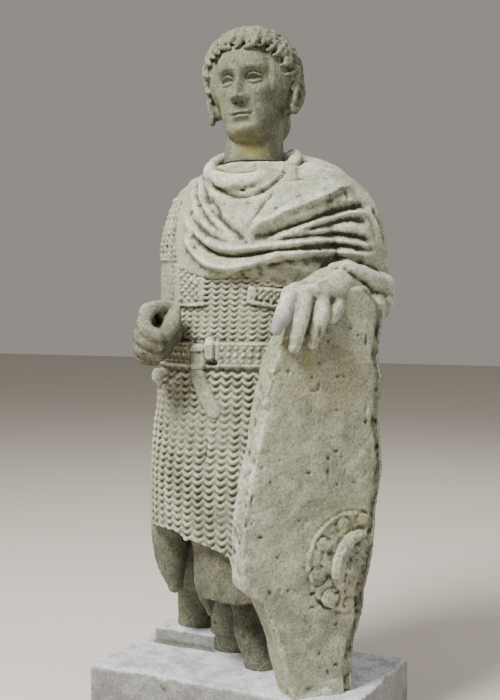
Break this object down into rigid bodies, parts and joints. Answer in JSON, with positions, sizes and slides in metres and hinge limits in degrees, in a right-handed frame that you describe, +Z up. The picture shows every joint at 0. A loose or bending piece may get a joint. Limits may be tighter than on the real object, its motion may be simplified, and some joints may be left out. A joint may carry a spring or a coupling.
{
  "type": "gaulish warrior statue",
  "caption": "Weathered limestone statue of a standing warrior in mail and cloak, hand on a broken oval shield, broken at the knees, on a low plinth.",
  "frame": {"origin": "middle of the plinth's underside", "axes": "+Z up; the figure faces -Y, and its left side and its shield are towards +X"},
  "size_m": [0.6797, 0.4719, 1.6503],
  "materials": {
    "limestone": "dry weathered limestone, grey-olive, with dark grime in the hollows and a little moss",
    "casting": "dry cast stone, cool grey, with pale chipped edges"
  },
  "bodies": {
    "root": {"figure": "limestone", "head": "limestone", "plinth": "casting"}
  },
  "joints": []
}
